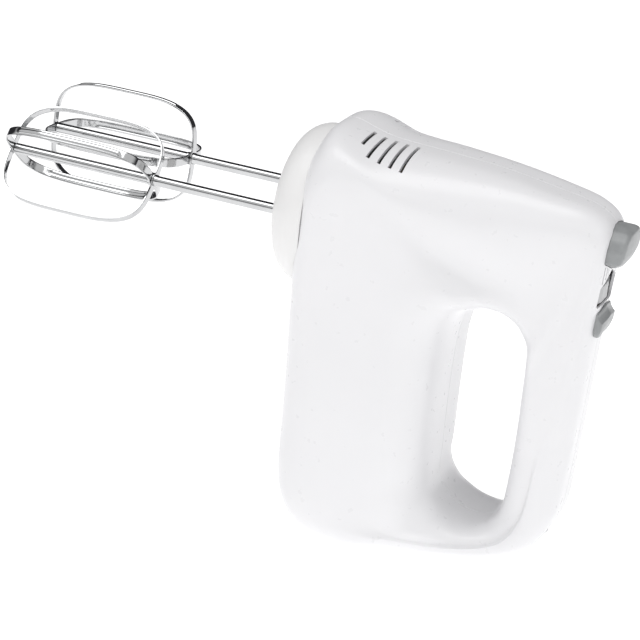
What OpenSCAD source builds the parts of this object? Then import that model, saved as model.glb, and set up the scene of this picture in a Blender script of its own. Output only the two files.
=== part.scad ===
// Hand mixer with two closed-loop beaters.
// The machine frame has +X along the beater axes, from the beater tips towards
// the handle top, +Y to the mixer's right and +Z from the heel to the nose.
// place() tilts it so that the mixer stands on its heel pad at z = 0.

/* [Beaters] */
// Distance between the two beater axes
beater_pitch = 41; // [39:0.5:43]
// Diameter of a beater shaft
shaft_d = 4.8; // [4.4:0.1:5]
// Length of a beater's loop cage
cage_len = 73; // [64:1:78]
// Half width of a loop
loop_r = 25; // [22:0.5:26]
// Width of the loop strap
strap_w = 4.2; // [3.4:0.2:5]
// Thickness of the loop strap
strap_t = 0.9; // [0.7:0.1:1.1]
// Turn of the left beater's loops about its shaft
left_turn = 41; // [36:1:46]

/* [Housing] */
// Wall thickness of the housing shells
wall = 2.2; // [1.8:0.1:2.4]
// Radius of the round nose collar
collar_r = 37; // [36:0.5:38]
// Tilt of the beaters above the table when the mixer stands on its heel
tilt = 8; // [6:0.5:10]

/* [Drive] */
// Distance from the beater tips to the worm axis
gear_x = 178; // [178:1:178]
// Teeth on each worm wheel
wheel_teeth = 26; // [26:1:26]
// Module of the worm drive
gear_m = 1; // [1:0.5:1]

/* [Controls] */
// Stroke of the eject button
eject_travel = 7; // [5:0.5:7]
// Stroke of the turbo button
turbo_travel = 2.5; // [1.5:0.5:2.5]
// Clear bore of the cord inlet
inlet_d = 7.4; // [6.4:0.2:7.6]

/* [Hidden] */
$fn = 48;
hp = beater_pitch/2;
heel = [203, -148];
spin_d = 12;          // outside of a drive spindle
worm_ro = 8.3;        // tip radius of the worm
worm_rp = hp - wheel_teeth*gear_m/2;  // pitch radius of the worm
lead = 2*PI*gear_m;   // two-start worm
plate_f = 162;        // front plate of the gear frame
plate_r = 191;        // rear plate of the gear frame
right_turn = 45-left_turn;  // the two cages interleave at 45 degrees
slide_a = 1.8;        // lean of the slider's track along the handle

// Table of offsets of the housing, one row per station round the finger hole:
// outline x z, hole edge x z, half width, corner depth and width at the
// outline, then half width, corner depth and width at the hole edge.
stations = [
 [146,-118,  217,-100, 37, 20,26, 35, 24,24],
 [145.5,-90, 216.5,-80,38, 20,26, 36, 24,24],
 [145,-60,   216.5,-62,38, 18,24, 36, 24,24],
 [145,-30,   217,-47,  38, 14,20, 36, 24,24],
 [145,-5,    219,-35,  38, 12,18, 36, 22,22],
 [145.5,18,  223,-27.5,38, 14,20, 35, 20,20],
 [149,35,    229,-24.5,38, 20,28, 33, 18,18],
 [156,43,    234,-23.5,37, 25,33, 30, 17,17],
 [176,38.4,  239,-24,  35, 25,31, 27, 16,15],
 [205,36.8,  243,-26,  32, 24.5,25,24,15,13],
 [230,35,    247,-29.5,28, 23,20, 21, 14,11],
 [254,31.5,  250,-34.5,24, 20,15, 19, 13,10],
 [271.5,28.2,252,-40,  20, 17,13, 18, 13,10],
 [281,20.5,  252.5,-47,18, 14,12, 18, 13,10],
 [281.4,5,   252.5,-56,17.5,13,12, 17, 12,10],
 [280,-25,   252.5,-66,17, 13,12, 17, 12,10],
 [279,-60,   252.5,-82,17, 13,12, 17, 12,10],
 [277.5,-95, 252,-100, 18, 13,12, 17, 12,10],
 [275.5,-116,251,-116, 20, 14,12, 18, 12,10],
 [268,-131,  247,-124, 23, 16,13, 20, 13,12],
 [254,-139,  241,-127, 26, 18,14, 24, 14,13],
 [232,-143.5,233,-127, 30, 18,15, 28, 15,15],
 [205,-147.3,226,-124, 33, 19,16, 32, 18,18],
 [180,-150.6,221,-119, 35, 20,18, 33, 22,20],
 [160,-146,  218,-114, 36, 20,22, 34, 24,22],
 [150,-134.5,217,-108, 37, 20,25, 34, 24,24]
];
nst = len(stations);
div = 3;

function lerp3(a,b,c,d,t) = 0.5*(2*b + (c-a)*t + (2*a-5*b+4*c-d)*t*t + (3*b-a-3*c+d)*t*t*t);
function station(i,t) = lerp3(stations[(i+nst-1)%nst], stations[i], stations[(i+1)%nst], stations[(i+2)%nst], t);
// one C-shaped section of the skin: distance along the station line and half width
function skin(r, g) = let(
    O=[r[0],r[1]], I=[r[2],r[3]], L0=norm(I-O), d=(I-O)/L0, e=2/2.3,
    L=L0-2*g, W=r[4]-g, b=r[6]-g*0.6, V=r[7]-g, f=r[9]-g*0.6,
    fit=min(1, 0.94*L/(r[5]+r[8]-g*1.2)),  // corners shrink where the station is short
    a=(r[5]-g*0.6)*fit, c=(r[8]-g*0.6)*fit, P=O+d*g,
    sw=concat([[0,0]],
      [for(j=[0:4]) let(p=j*22.5) [a-a*pow(cos(p),e), W-b+b*pow(sin(p),e)]],
      [for(j=[1:2]) let(t=j/3) [a+(L-c-a)*t, W+(V-W)*t*t*(3-2*t)]],
      [for(j=[0:4]) let(p=j*22.5) [L-c+c*pow(sin(p),e), V-f+f*pow(cos(p),e)]],
      [[L,0]]))
    [for(q=sw) [P[0]+q[0]*d[0], q[1], P[1]+q[0]*d[1]]];

// one half of the skin as a hollow shell: side -1 is the left, 1 the right
module skin_half(side) {
    rows = [for(i=[0:nst-1]) for(k=[0:div-1]) let(s=station(i,k/div))
        let(q=skin(s,wall)) concat(skin(s,0), [for(v=[len(q)-1:-1:0]) q[v]])];
    n=len(rows); m=len(rows[0]);
    pts=[for(r=rows) for(q=r) [q[0],side*q[1],q[2]]];
    faces=[for(i=[0:n-1]) for(j=[0:m-1]) let(a=i*m+j, b=((i+1)%n)*m+j, c=((i+1)%n)*m+(j+1)%m, d=i*m+(j+1)%m)
        each side<0 ? [[a,d,b],[d,c,b]] : [[a,b,d],[d,b,c]]];
    polyhedron(pts, faces, convexity=8);
}

module place() { rotate([0,tilt,0]) translate([-heel[0],0,-heel[1]]) children(); }
module xcyl(x0,x1,r,y=0,z=0) { translate([x0,y,z]) rotate([0,90,0]) cylinder(r=r,h=x1-x0); }
module ycyl(y0,y1,r,x=0,z=0) { translate([x,y0,z]) rotate([-90,0,0]) cylinder(r=r,h=y1-y0); }
module box(x0,x1,y0,y1,z0,z1) { translate([x0,y0,z0]) cube([x1-x0,y1-y0,z1-z0]); }
module rrect(w,h,r) { square([w-2*r,h],center=true); square([w,h-2*r],center=true);
    for(a=[-1,1],b=[-1,1]) translate([a*(w/2-r),b*(h/2-r)]) circle(r); }
// closed helical spring along X
module spring_x(x0,x1,r,w,turns,y=0,z=0) {
    k=turns*8; m=5;
    pts=[for(i=[0:k]) let(a=360*turns*i/k, x=x0+w+(x1-x0-2*w)*i/k) for(j=[0:m-1]) let(b=360*j/m)
        [x+w*sin(b), y+(r+w*cos(b))*cos(a), z+(r+w*cos(b))*sin(a)]];
    faces=concat([[for(j=[0:m-1]) j]], [[for(j=[m-1:-1:0]) k*m+j]],
        [for(i=[0:k-1]) for(j=[0:m-1]) let(a=i*m+j,b=i*m+(j+1)%m,c=a+m,d=b+m) each [[a,c,b],[b,c,d]]]);
    polyhedron(pts,faces,convexity=8);
}

// screw bosses across the parting plane: x, z, length towards the side wall
bosses = [[160,-130,30.6],[156,-29,35.0],[265.5,-98,16.1],[265.5,-54.5,16.1],[226,20,26.2],[207,-126,30.2]];
inlet = [268,-131];    // where the cord inlet meets the skin
inlet_a = 133;         // direction of the inlet, turned from +Z towards +X
rod_z = 12;            // height of the eject rod above the beater axes
module at_inlet() { translate([inlet[0],0,inlet[1]]) rotate([0,inlet_a,0]) children(); }
// the slider moves along the handle top, which leans by slide_a
module on_track(z) { translate([280.9-(5-z)*sin(slide_a),0,z]) rotate([0,slide_a,0]) children(); }

// five slots across the top of the nose on the left, the first one short, and
// five lower down on the right shoulder
module vent(i) { box(169+5.2*i-0.8,169+5.2*i+0.8,i==0?-21.5:-28,-5.5,28,60); box(169+5.2*i-0.8,169+5.2*i+0.8,20,33,22,60); }
// prism along X with its outline in Y and Z
module yz(x0,x1,p) { translate([x0,0,0]) rotate([90,0,90]) linear_extrude(x1-x0) polygon(p); }
// right half of an outline, completed by its mirror image
function both(p) = concat(p, [for(i=[len(p)-1:-1:0]) [-p[i][0],p[i][1]]]);
// outlines of the eject button and of the turbo button with its pointed front; g is the gap round them
function eject_outline(g) = both([[2+g/2,2.2-g],[13.2+g,7-g/2],[13.5+g,13],[11.8+g,17.6+g/2],[7.5+g/2,20.8+g],[3,21.8+g]]);
turbo_open = both([[12,-14.2],[12,-4.6],[0.4,1]]);
module shell(side) {
    difference() {
        skin_half(side);
        xcyl(120,150.3,collar_r+0.15);
        yz(262,300,eject_outline(0.3));
        yz(262,300,turbo_open);
        box(262,300,-2.3,2.3,-26,-16);
        for(i=[0:4]) vent(i);
        at_inlet() translate([0,0,-10]) cylinder(r=5.15,h=40);
        if (side>0) for(q=bosses) ycyl(8,60,3.4,q[0],q[1]);
        heel_frame() translate([0,0,-1]) linear_extrude(2.5) rrect(58.4,26.4,6.2);
    }
}
// screw posts on the inside of each shell, with their ends set into its wall
module posts(side) { difference() {
    for(q=bosses) ycyl(side<0?-q[2]:0.05, side<0?-0.05:q[2], side<0?4:4.8, q[0], q[1]);
    if (side<0) for(q=bosses) ycyl(-14,1,1.5,q[0],q[1]);
    else for(q=bosses) { ycyl(-1,60,1.65,q[0],q[1]); ycyl(8,60,3.4,q[0],q[1]); }
} }
// puts a shape given in the standing frame back into the machine frame
module heel_frame() { translate([heel[0],0,heel[1]]) rotate([0,-tilt,0]) children(); }

module housing_left() { color("white") place() shell(-1); }
module housing_right() { color("white") place() shell(1); }
module left_screw_posts() { color("white") place() posts(-1); }
module right_screw_posts() { color("white") place() posts(1); }
module nose_collar() { color("white") place() difference() {
    union() {
        translate([132.5,0,0]) rotate([0,90,0]) rotate_extrude($fn=96) difference() {
            union() { square([collar_r-14,17.5]); translate([0,14]) square([collar_r,3.5]);
                intersection() { translate([collar_r-14,14]) circle(14); square([collar_r,17.5]); } }
            union() { translate([-1,2.4]) square([collar_r-13,20]); translate([-1,14]) square([collar_r-1.4,8]);
                intersection() { translate([collar_r-14,14]) circle(11.6); translate([0,2.4]) square([collar_r,17.5]); } }
        }
        xcyl(134,plate_f-0.05,4,0,18); xcyl(134,plate_f-0.05,4,0,-15.5);
    }
    for(s=[-1,1]) xcyl(120,160,6.5,s*hp,0);
    for(z=[18,-15.5]) xcyl(146,plate_f+1,1.3,0,z);
} }
module collar_screws() { color("silver") place() for(z=[18,-15.5]) { xcyl(148,plate_f+4.05,1.25,0,z); xcyl(plate_f+4.05,plate_f+6,2.6,0,z); } }
module heel_pad() { color("gainsboro") linear_extrude(1.45) rrect(58,26,6); }
module housing_screws() { color("silver") place() for(q=bosses) { ycyl(-12,5.6,1.45,q[0],q[1]); difference() { ycyl(8.02,10.2,3.1,q[0],q[1]); ycyl(9.2,11,1.6,q[0],q[1]); } ycyl(5.5,8.1,1.45,q[0],q[1]); } }

module gear_frame() { color("darkgray") place() difference() {
    union() {
        for(x=[plate_f,plate_r]) box(x,x+4,-30.5,30.5,-22,14);
        box(plate_f,plate_r+4,-30.5,30.5,-22,-19);
        box(plate_f,plate_r+4,-9,9,13,19.5);
        for(x=[plate_f,plate_r]) box(x,x+4,-9,9,16,24);
        box(plate_f,plate_r+4,-9,9,19.5,24);
    }
    for(s=[-1,1]) xcyl(150,200,8,s*hp,0);
    translate([gear_x,0,-30]) cylinder(r=7,h=60);
    box(plate_f+4,plate_r,-10,10,-19,19.5);
    for(z=[18,-15.5]) { xcyl(150,plate_f+5,1.4,0,z); xcyl(plate_f+4,plate_f+8,3,0,z); }
} }
module spindle_bushes() { color("peru") place() for(s=[-1,1], x=[plate_f,plate_r]) difference() { xcyl(x,x+4,7.98,s*hp,0); xcyl(x-1,x+5,spin_d/2+0.05,s*hp,0); } }
module bearing(z0,z1,r) { translate([gear_x,0,z0]) difference() { cylinder(r=r,h=z1-z0); translate([0,0,-1]) cylinder(r=3.04,h=z1-z0+2); } }
module front_bearings() { color("peru") place() { bearing(19.5,24,6.98); bearing(-22,-19,6.98); } }
module rear_bearing() { color("peru") place() bearing(-120,-113,6.48); }

module motor_stator() { color("dimgray") place() difference() {
    translate([gear_x,0,-84]) linear_extrude(24) rrect(50,58,6);
    translate([gear_x,0,-90]) cylinder(r=15.6,h=40);
    for(a=[-1,1],b=[-1,1]) box(gear_x+(a>0?16.2:-22.2),gear_x+(a>0?22.2:-16.2),b>0?13:-20,b>0?20:-13,-90,-50);
    for(b=[-1,1]) translate([gear_x,b*24.5,-90]) cylinder(r=1.6,h=40);
} }
module field_coils() { color("chocolate") place() for(a=[-1,1]) translate([gear_x+a*19.2,0,-72]) rotate([0,90,0]) translate([0,0,-2.8]) difference() {
    linear_extrude(5.6) rrect(40,39.6,5); translate([0,0,-1]) linear_extrude(8) rrect(25.5,26.6,2); } }
module motor_end_bracket() { color("darkgray") place() difference() {
    union() { box(gear_x-13,gear_x+13,-29,29,-118,-114); translate([gear_x,0,-120.5]) cylinder(r=9,h=8);
        for(b=[-1,1]) translate([gear_x,b*24.5,-115]) cylinder(r=4,h=30.95); }
    translate([gear_x,0,-130]) cylinder(r=6.5,h=40);
    for(b=[-1,1]) translate([gear_x,b*24.5,-130]) cylinder(r=1.6,h=60);
} }
module motor_screws() { color("silver") place() for(b=[-1,1]) translate([gear_x,b*24.5,0]) { translate([0,0,-118.5]) cylinder(r=1.5,h=60); translate([0,0,-120.6]) cylinder(r=3.2,h=2.58); } }
module brush_plate() { color("black") place() difference() { union() { box(gear_x-27,gear_x+27,-8,8,-111.9,-108.6); box(gear_x-12,gear_x+12,-20,20,-111.9,-108.6); }
    translate([gear_x,0,-120]) cylinder(r=10,h=20); } }
module brush_holders() { color("goldenrod") place() for(a=[-1,1]) translate([gear_x,0,0]) mirror([a<0?1:0,0,0]) difference() {
    box(11,26.5,-4.4,4.4,-108.5,-98.5); box(10,25.6,-3.4,3.4,-107.5,-99.5); } }
module carbon_brushes() { color("dimgray") place() for(a=[-1,1]) translate([gear_x,0,0]) mirror([a<0?1:0,0,0]) difference() {
    box(8.6,19,-3.3,3.3,-107.4,-99.6); translate([0,0,-120]) cylinder(r=9.06,h=40); } }
module brush_springs() { color("silver") place() translate([gear_x,0,-103.5]) { spring_x(19.1,25.5,2.3,0.3,5); mirror([1,0,0]) spring_x(19.1,25.5,2.3,0.3,5); } }
module air_baffle() { color("black") place() difference() { translate([gear_x,0,-50.6]) linear_extrude(1.8) rrect(52,62,8); translate([gear_x,0,-60]) cylinder(r=17,h=30);
    for(a=[-1,1]) box(gear_x+(a>0?15:-23),gear_x+(a>0?23:-15),-21,21,-55,-45); } }

module motor_shaft() { color("silver") place() translate([gear_x,0,-122]) cylinder(r=3,h=148); }
module armature_core() { color("gray") place() translate([gear_x,0,-84]) difference() { cylinder(r=15.1,h=24); translate([0,0,-1]) cylinder(r=3.01,h=30);
    for(i=[0:11]) rotate(i*30) translate([12.9,0,-1]) cylinder(r=1.7,h=30); } }
module armature_windings() { color("chocolate") place() translate([gear_x,0,0]) { 
    rotate_extrude() for(z=[-88.2,-55.8]) translate([8.7,z]) rrect(10.6,8,2.5);
    for(i=[0:11]) rotate(i*30) translate([12.4,0,-85]) cylinder(r=1.15,h=26); } }
module commutator() { color("peru") place() translate([gear_x,0,-108]) difference() { cylinder(r=9,h=11); translate([0,0,-1]) cylinder(r=3.01,h=13);
    for(i=[0:11]) rotate(i*30+15) box(8.2,10,-0.2,0.2,-1,9.5); } }
module cooling_fan() { color("black") place() translate([gear_x,0,0]) difference() { union() { translate([0,0,-46.5]) cylinder(r=24.5,h=1.6); translate([0,0,-46.5]) cylinder(r=7,h=12);
    for(i=[0:9]) rotate(i*36) box(6,24,-0.7,0.7,-46,-36.5); } translate([0,0,-50]) cylinder(r=3.01,h=20); } }
// half thickness of a thread, in degrees of azimuth, at radius r
function th_half(r) = 180*(1.05+2*(worm_rp-r)*tan(20))/lead;
module worm() { color("silver") place() translate([gear_x,0,0]) difference() {
    translate([0,0,-9]) rotate(-9*360/lead) linear_extrude(18,twist=-18*360/lead,slices=54,convexity=8)
        polygon([for(k=[0,1]) each concat(
            [for(j=[-1:0.5:1]) let(a=k*180+j*th_half(worm_ro)) worm_ro*[cos(a),sin(a)]],
            [for(a=[th_half(6.2):(180-2*th_half(6.2))/4:180-th_half(6.2)+0.01]) 6.2*[cos(k*180+a),sin(k*180+a)]])]);
    translate([0,0,-20]) cylinder(r=3.01,h=40); } }

module wheel(s) { translate([0,s*hp,0]) difference() { union() { xcyl(gear_x-2,gear_x+2,11.7); xcyl(gear_x-6,gear_x+6,9);
    for(i=[0:wheel_teeth-1]) rotate([i*360/wheel_teeth,0,0]) translate([gear_x-2,0,0]) rotate([90,0,90]) linear_extrude(4)
        polygon([[11.3,-1.05],[11.7,-1],[13,-0.525],[13.9,-0.2],[13.9,0.2],[13,0.525],[11.7,1],[11.3,1.05]]); }
    xcyl(gear_x-10,gear_x+10,spin_d/2+0.01); } }
module left_worm_wheel() { color("ivory") place() wheel(-1); }
module right_worm_wheel() { color("ivory") place() wheel(1); }
module spindle(s,a) { translate([0,s*hp,0]) rotate([-a,0,0]) difference() { xcyl(134.5,plate_r+4.5,spin_d/2); xcyl(120,220,shaft_d/2+0.05);
    box(130,156,-0.65,0.65,-4.4,4.4); box(130,156,-4.4,4.4,-0.65,0.65); } }
module left_spindle() { color("gray") place() spindle(-1,left_turn); }
module right_spindle() { color("gray") place() spindle(1,right_turn); }

module beater_shaft(s,a) { translate([0,s*hp,0]) rotate([-a,0,0]) { union() { xcyl(2.2*strap_t+0.1,189,shaft_d/2); xcyl(0.4,3,1.3); xcyl(-0.9,0,2.1); xcyl(-0.1,0.5,1.3);
    box(147,152,-0.5,0.5,-4.2,4.2); box(147,152,-4.2,4.2,-0.5,0.5); } } }
module loop(s,a,g) { r=17; translate([0,s*hp,0]) rotate([-a,0,0]) difference() {
    union() {
        translate([cage_len/2,0,0]) rotate([90,0,0]) translate([0,0,-strap_w/2]) linear_extrude(strap_w) difference() { rrect(cage_len-2*g,2*(loop_r-g),r-g); rrect(cage_len-2*g-2*strap_t,2*(loop_r-g-strap_t),r-g-strap_t); }
        xcyl(g,g+strap_t,2.6); xcyl(cage_len-g-strap_t,cage_len-g,3.4);
    }
    xcyl(-2,20,1.32); xcyl(cage_len-10,cage_len+5,shaft_d/2+0.02); } }
module left_beater_shaft() { color("silver") place() beater_shaft(-1,left_turn); }
module left_outer_loop() { color("silver") place() loop(-1,left_turn,0); }
module left_inner_loop() { color("silver") place() loop(-1,left_turn+90,strap_t+0.02); }
module right_beater_shaft() { color("silver") place() beater_shaft(1,right_turn); }
module right_outer_loop() { color("silver") place() loop(1,right_turn,0); }
module right_inner_loop() { color("silver") place() loop(1,right_turn+90,strap_t+0.02); }

module eject_button() { color("gray") place() difference() { intersection() {
        rotate([90,0,0]) linear_extrude(30,center=true) polygon([[266,2],[283,2],[286.9,5.4],[289,10.5],[289.6,15],[289.2,20.2],[288.4,21.1],[282.4,22.1],[266,22.1]]);
        yz(260,300,eject_outline(0));
    }
    xcyl(260,272,2.51,0,rod_z); } }
module eject_rod() { color("ivory") place() { xcyl(205,271.9,2.5,0,rod_z); xcyl(258,260,4.6,0,rod_z); difference() { union() { box(203,206,-25,25,-4,4); box(203,206,-6,6,-4,16); } }
    for(s=[-1,1]) xcyl(189.3,204,1.9,s*hp,0); } }
module rod_guide() { color("ivory") place() difference() { union() { box(232,236,-14,14,4,18.5); box(232,236,-14,14,4,8); } xcyl(230,240,2.56,0,rod_z); } }
module eject_spring() { color("silver") place() spring_x(236.1,257.9,3.7,0.45,8,0,rod_z); }
module turbo_button() { color("lightgray") place() { yz(272,279.9,both([[10.6,-13.6],[10.6,-5.6]])); yz(272,278.3,both([[10.6,-5.61],[10.6,-4.8],[0.3,0.3]])); box(270.2,272.1,-12.8,12.8,-15.8,-3.4); } }
module turbo_switch() { color("black") place() box(256.5,266,-7,7,-14.5,-5.5); }
module turbo_spring() { color("silver") place() spring_x(266.1,270.1,2.6,0.3,4,0,-10); }
module speed_knob() { color("gray") place() on_track(-21.8) difference() { intersection() {
        rotate([90,0,0]) linear_extrude(22,center=true) polygon([[0.5,-7],[1.6,-7],[4.2,1],[4.2,5.6],[3.2,7],[0.5,7]]);
        translate([-2,0,0]) rotate([90,0,90]) linear_extrude(10) rrect(21,14,3);
    } } }
module slider_carriage() { color("ivory") place() on_track(-21.8) { box(-6.6,-3,-7,7,-3,5.4); box(-4,0.48,-2,2,2.2,5.4); } }
module detent_leaf() { color("silver") place() { box(272.05,272.5,-3,3,-46,-20); ycyl(-3,3,0.5,272.56,-38); } }
module switch_block() { color("black") place() { box(257,272,-9,9,-48,-17.2); } }

module control_board() { color("darkgreen") place() { box(204,244,-14,14,-16,-14.4); box(232,240,-5,5,-14.4,-4); for(x=[236,238]) ycyl(-9,-6,1,x,-13.4); } }
module suppression_capacitor() { color("gold") place() { box(208,226,-7,7,-14.35,-3); } }
module terminal_block() { color("ivory") place() difference() { box(184,204,-9,9,-143,-132); for(x=[187.5,194,200.5]) { translate([x,0,-136]) cylinder(r=2,h=5); } } }
module cord_inlet() { color("dimgray") place() at_inlet() difference() { union() { translate([0,0,-10]) cylinder(r=5.1,h=9.9); translate([0,0,-8]) cylinder(r=6.6,h=2.2); } translate([0,0,-12]) cylinder(d=inlet_d,h=14); } }
module cord_clamp() { color("black") place() difference() { box(246,252,-10,10,-135.5,-131); xcyl(240,260,3.4,0,-130); for(b=[-1,1]) translate([249,b*7,-140]) cylinder(r=1.3,h=12); } }
module clamp_screws() { color("silver") place() for(b=[-1,1]) translate([249,b*7,0]) { translate([0,0,-135.3]) cylinder(r=1.25,h=6); translate([0,0,-130.95]) cylinder(r=2.4,h=1.8); } }
// insulated lead along points p: a mitred ring of six points at each
function unit(v) = v/norm(v);
module wire(p,r) { n=len(p); m=6;
    rings=[for(i=[0:n-1]) let(a=i==0?p[1]-p[0]:unit(p[i]-p[i-1]), b=i==n-1?p[n-1]-p[n-2]:unit(p[i+1]-p[i]), t=unit(i==0?a:i==n-1?b:a+b),
        u=unit(cross(t,[0.1,1,0.05])), v=cross(t,u)) for(j=[0:m-1]) p[i]+r*(u*cos(j*60)+v*sin(j*60))];
    polyhedron(rings, concat([[for(j=[0:m-1]) j]], [[for(j=[m-1:-1:0]) (n-1)*m+j]],
        [for(i=[0:n-2]) for(j=[0:m-1]) let(a=i*m+j,b=i*m+(j+1)%m,c=a+m,d=b+m) each [[a,c,b],[b,c,d]]])); }
module power_leads() { color("saddlebrown") place() {
    wire([[204.4,5,-139],[230,12,-137.5],[242,13,-135.5],[252,13,-131.5],[261,8,-121],[258,4,-108],[258,4,-48.6]],1.1);
    wire([[255.8,6,-30],[251,6,-22],[245.2,6,-15.6]],1.1);
    wire([[202.6,6,-15.4],[205,16,-24],[205,16,-43],[199.4,15.4,-48],[198,15,-50.4]],1.0); } }

housing_left();
housing_right();
left_screw_posts();
right_screw_posts();
nose_collar();
collar_screws();
heel_pad();
housing_screws();
gear_frame();
spindle_bushes();
front_bearings();
rear_bearing();
motor_stator();
field_coils();
motor_end_bracket();
motor_screws();
brush_plate();
brush_holders();
carbon_brushes();
brush_springs();
air_baffle();
motor_shaft();
armature_core();
armature_windings();
commutator();
cooling_fan();
worm();
left_worm_wheel();
right_worm_wheel();
left_spindle();
right_spindle();
left_beater_shaft();
left_outer_loop();
left_inner_loop();
right_beater_shaft();
right_outer_loop();
right_inner_loop();
eject_button();
eject_rod();
rod_guide();
eject_spring();
turbo_button();
turbo_switch();
turbo_spring();
speed_knob();
slider_carriage();
detent_leaf();
switch_block();
control_board();
suppression_capacitor();
terminal_block();
cord_inlet();
cord_clamp();
clamp_screws();
power_leads();
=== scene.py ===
# Looks of the hand mixer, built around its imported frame.
import math
import bpy
import bmesh
import numpy as np
from mathutils import Matrix, Vector
from mathutils.bvhtree import BVHTree
from mathutils.interpolate import poly_3d_calc


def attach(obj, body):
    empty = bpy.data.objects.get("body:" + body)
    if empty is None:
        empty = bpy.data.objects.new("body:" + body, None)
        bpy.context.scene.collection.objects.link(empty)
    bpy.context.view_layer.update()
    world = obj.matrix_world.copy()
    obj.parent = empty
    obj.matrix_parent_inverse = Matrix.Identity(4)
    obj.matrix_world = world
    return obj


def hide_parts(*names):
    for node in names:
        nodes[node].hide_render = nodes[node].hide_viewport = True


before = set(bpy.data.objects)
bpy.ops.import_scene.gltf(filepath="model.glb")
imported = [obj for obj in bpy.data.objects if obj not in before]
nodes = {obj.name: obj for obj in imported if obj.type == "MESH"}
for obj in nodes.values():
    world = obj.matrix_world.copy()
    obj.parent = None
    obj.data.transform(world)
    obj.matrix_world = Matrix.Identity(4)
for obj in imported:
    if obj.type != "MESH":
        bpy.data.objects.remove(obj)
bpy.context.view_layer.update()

scene = bpy.context.scene

# ---------------------------------------------------------------- frames
# The machine frame (mm) has +X along the beater axes from the tips to the
# handle top, +Y to the right and +Z from the heel to the nose.
TILT = math.radians(8)
SPIN = Matrix.Rotation(TILT, 4, 'Y')
PLACE = SPIN @ Matrix.Translation((-0.203, 0, 0.148)) @ Matrix.Scale(0.001, 4)
ROW = Matrix.Scale(0.001, 4)


# ---------------------------------------------------------------- camera
def make_camera():
    right, down, fwd = (Vector(v).normalized() for v in (
        (0.9214, 0.3734, 0.1082), (0.2302, -0.2998, -0.9258), (-0.3133, 0.8779, -0.3621)))
    r3 = SPIN.to_3x3()
    right, up, back = r3 @ right, r3 @ -down, r3 @ -fwd
    cam = bpy.data.objects.new("camera", bpy.data.cameras.new("camera"))
    m = Matrix((right, up, back)).transposed().to_4x4()
    q = m.to_quaternion()
    cam.matrix_world = Matrix.Translation(PLACE @ Vector((496.29, -966.44, 343.83))) @ q.to_matrix().to_4x4()
    cam.data.sensor_width = 36
    cam.data.lens = 136.02
    cam.data.clip_start, cam.data.clip_end = 0.05, 50
    scene.collection.objects.link(cam)
    scene.camera = cam
    return cam


make_camera()


# ---------------------------------------------------------------- materials
def node_of(tree, kind, **inputs):
    n = tree.nodes.new(kind)
    for k, v in inputs.items():
        if k in n.inputs:
            n.inputs[k].default_value = v
        else:
            setattr(n, k, v)
    return n


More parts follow.
